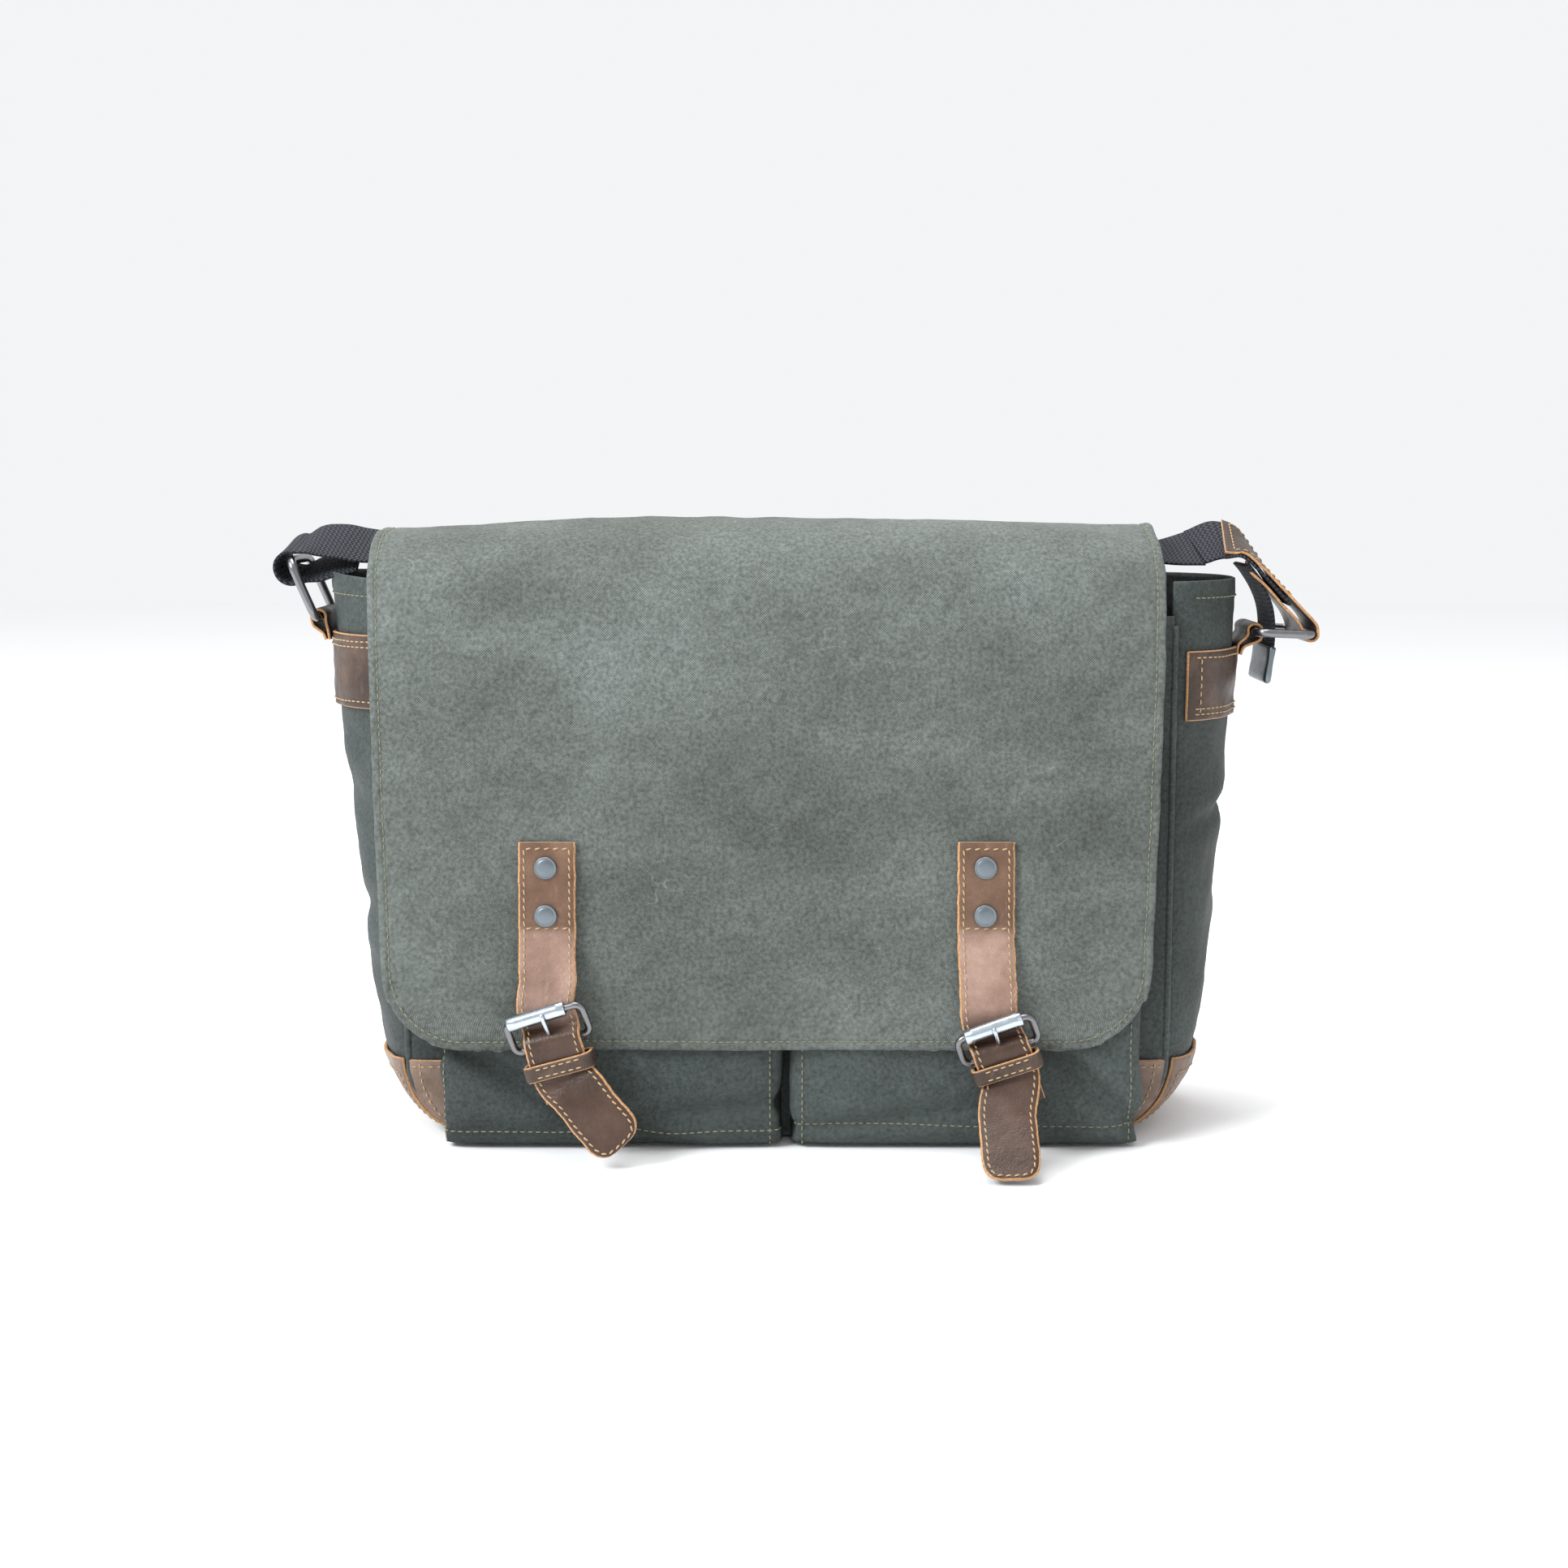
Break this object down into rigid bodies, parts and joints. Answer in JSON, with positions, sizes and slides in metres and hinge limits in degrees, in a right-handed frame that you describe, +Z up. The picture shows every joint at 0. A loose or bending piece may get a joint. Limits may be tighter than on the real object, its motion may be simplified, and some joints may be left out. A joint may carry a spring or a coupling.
{
  "type": "messenger bag",
  "caption": "Waxed canvas messenger bag with a front flap, buckled leather straps, bellows pockets, side rings and a webbing shoulder strap.",
  "frame": {"origin": "centre of the flat base, where the bag stands", "axes": "+X to the right across the width as seen from the front, -Y the front with the flap and straps, +Z up"},
  "size_m": [0.4724, 0.1723, 0.278],
  "materials": {
    "back_panel": "waxed canvas, mottled satin",
    "front_panel": "waxed canvas, mottled satin",
    "base_panel": "waxed canvas, mottled satin",
    "gusset_left": "waxed canvas, mottled satin",
    "gusset_right": "waxed canvas, mottled satin",
    "side_band_left": "oiled brown leather with raw tan edges",
    "side_band_right": "oiled brown leather with raw tan edges",
    "corner_patch_left": "oiled brown leather with raw tan edges",
    "corner_patch_right": "oiled brown leather with raw tan edges",
    "lining": "plain woven cotton",
    "front_pocket_left": "waxed canvas, mottled satin",
    "front_pocket_right": "waxed canvas, mottled satin",
    "flap_top": "waxed canvas, mottled satin",
    "flap_front": "waxed canvas, mottled satin",
    "strap_base_left": "oiled brown leather with raw tan edges",
    "strap_base_right": "oiled brown leather with raw tan edges",
    "rivet_left_upper": "polished dark nickel",
    "rivet_left_lower": "polished dark nickel",
    "rivet_right_upper": "polished dark nickel",
    "rivet_right_lower": "polished dark nickel",
    "strap_free_left": "oiled brown leather with raw tan edges",
    "strap_free_right": "oiled brown leather with raw tan edges",
    "buckle_tab_left": "oiled brown leather with raw tan edges",
    "buckle_tab_right": "oiled brown leather with raw tan edges",
    "strap_keeper_left": "oiled brown leather with raw tan edges",
    "strap_keeper_right": "oiled brown leather with raw tan edges",
    "buckle_frame_left": "polished dark nickel",
    "buckle_frame_right": "polished dark nickel",
    "buckle_roller_left": "polished dark nickel",
    "buckle_roller_right": "polished dark nickel",
    "buckle_prong_left": "polished dark nickel",
    "buckle_prong_right": "polished dark nickel",
    "ring_tab_left": "oiled brown leather with raw tan edges",
    "ring_tab_right": "oiled brown leather with raw tan edges",
    "ring_left": "polished dark nickel",
    "ring_right": "polished dark nickel",
    "shoulder_strap_left_loop": "black woven webbing",
    "shoulder_strap_middle": "black woven webbing",
    "shoulder_strap_right_end": "black woven webbing",
    "shoulder_strap_chape": "oiled brown leather with raw tan edges",
    "shoulder_strap_tail": "black woven webbing",
    "shoulder_strap_end_clip": "polished dark nickel"
  },
  "bodies": {
    "bag": {"back_panel": "back_panel", "front_panel": "front_panel", "base_panel": "base_panel", "gusset_left": "gusset_left", "gusset_right": "gusset_right", "side_band_left": "side_band_left", "side_band_right": "side_band_right", "corner_patch_left": "corner_patch_left", "corner_patch_right": "corner_patch_right", "lining": "lining", "front_pocket_left": "front_pocket_left", "front_pocket_right": "front_pocket_right", "ring_tab_left": "ring_tab_left", "ring_tab_right": "ring_tab_right", "shoulder_strap_middle": "shoulder_strap_middle"},
    "flap_crown": {"flap_top": "flap_top"},
    "flap": {"flap_front": "flap_front", "strap_base_left": "strap_base_left", "strap_base_right": "strap_base_right", "rivet_left_upper": "rivet_left_upper", "rivet_left_lower": "rivet_left_lower", "rivet_right_upper": "rivet_right_upper", "rivet_right_lower": "rivet_right_lower"},
    "closure_strap_left": {"strap_free_left": "strap_free_left", "buckle_tab_left": "buckle_tab_left", "strap_keeper_left": "strap_keeper_left"},
    "buckle_left": {"buckle_frame_left": "buckle_frame_left"},
    "roller_left": {"buckle_roller_left": "buckle_roller_left"},
    "prong_left": {"buckle_prong_left": "buckle_prong_left"},
    "closure_strap_right": {"strap_free_right": "strap_free_right", "buckle_tab_right": "buckle_tab_right", "strap_keeper_right": "strap_keeper_right"},
    "buckle_right": {"buckle_frame_right": "buckle_frame_right"},
    "roller_right": {"buckle_roller_right": "buckle_roller_right"},
    "prong_right": {"buckle_prong_right": "buckle_prong_right"},
    "ring_left_body": {"ring_left": "ring_left", "shoulder_strap_left_loop": "shoulder_strap_left_loop"},
    "ring_right_body": {"ring_right": "ring_right", "shoulder_strap_right_end": "shoulder_strap_right_end", "shoulder_strap_chape": "shoulder_strap_chape", "shoulder_strap_tail": "shoulder_strap_tail", "shoulder_strap_end_clip": "shoulder_strap_end_clip"}
  },
  "joints": [
    {"name": "flap_open", "type": "hinge", "parent": "bag", "child": "flap_crown", "pos_m": [0, 0.0525, 0.2695], "axis": [-1, 0, 0], "range_deg": [0, 180]},
    {"name": "flap_unfold", "type": "hinge", "parent": "flap_crown", "child": "flap", "pos_m": [0, -0.0452, 0.2608], "axis": [-1, 0, 0], "range_deg": [0, 90]},
    {"name": "strap_left_lift", "type": "hinge", "parent": "flap", "child": "closure_strap_left", "pos_m": [-0.105, -0.0716, 0.0975], "axis": [-1, 0, 0], "range_deg": [0, 100]},
    {"name": "buckle_left_tilt", "type": "hinge", "parent": "closure_strap_left", "child": "buckle_left", "pos_m": [-0.1018, -0.08115, 0.05227], "axis": [0.9563, 0, 0.2924], "range_deg": [0, 8]},
    {"name": "prong_left_lift", "type": "hinge", "parent": "buckle_left", "child": "prong_left", "pos_m": [-0.1018, -0.08115, 0.05227], "axis": [0.9563, 0, 0.2924], "range_deg": [0, 8]},
    {"name": "roller_left_spin", "type": "hinge", "parent": "buckle_left", "child": "roller_left", "pos_m": [-0.106, -0.0855, 0.066], "axis": [0.9563, 0, 0.2924], "continuous": true},
    {"name": "strap_right_lift", "type": "hinge", "parent": "flap", "child": "closure_strap_right", "pos_m": [0.087, -0.0716, 0.0975], "axis": [-1, 0, 0], "range_deg": [0, 100]},
    {"name": "buckle_right_tilt", "type": "hinge", "parent": "closure_strap_right", "child": "buckle_right", "pos_m": [0.09376, -0.08173, 0.04831], "axis": [0.9397, 0, 0.342], "range_deg": [0, 8]},
    {"name": "prong_right_lift", "type": "hinge", "parent": "buckle_right", "child": "prong_right", "pos_m": [0.09376, -0.08173, 0.04831], "axis": [0.9397, 0, 0.342], "range_deg": [0, 8]},
    {"name": "roller_right_spin", "type": "hinge", "parent": "buckle_right", "child": "roller_right", "pos_m": [0.0895, -0.0855, 0.06], "axis": [0.9397, 0, 0.342], "continuous": true},
    {"name": "ring_left_swing", "type": "hinge", "parent": "bag", "child": "ring_left_body", "pos_m": [-0.2128, 0, 0.2335], "axis": [0, -1, 0], "range_deg": [-5, 25]},
    {"name": "ring_right_swing", "type": "hinge", "parent": "bag", "child": "ring_right_body", "pos_m": [0.2128, 0, 0.227], "axis": [0, 1, 0], "range_deg": [-5, 14]}
  ],
  "couplings": [
    {"joint": "flap_unfold", "follows": "flap_open", "ratio": 0.5}
  ]
}
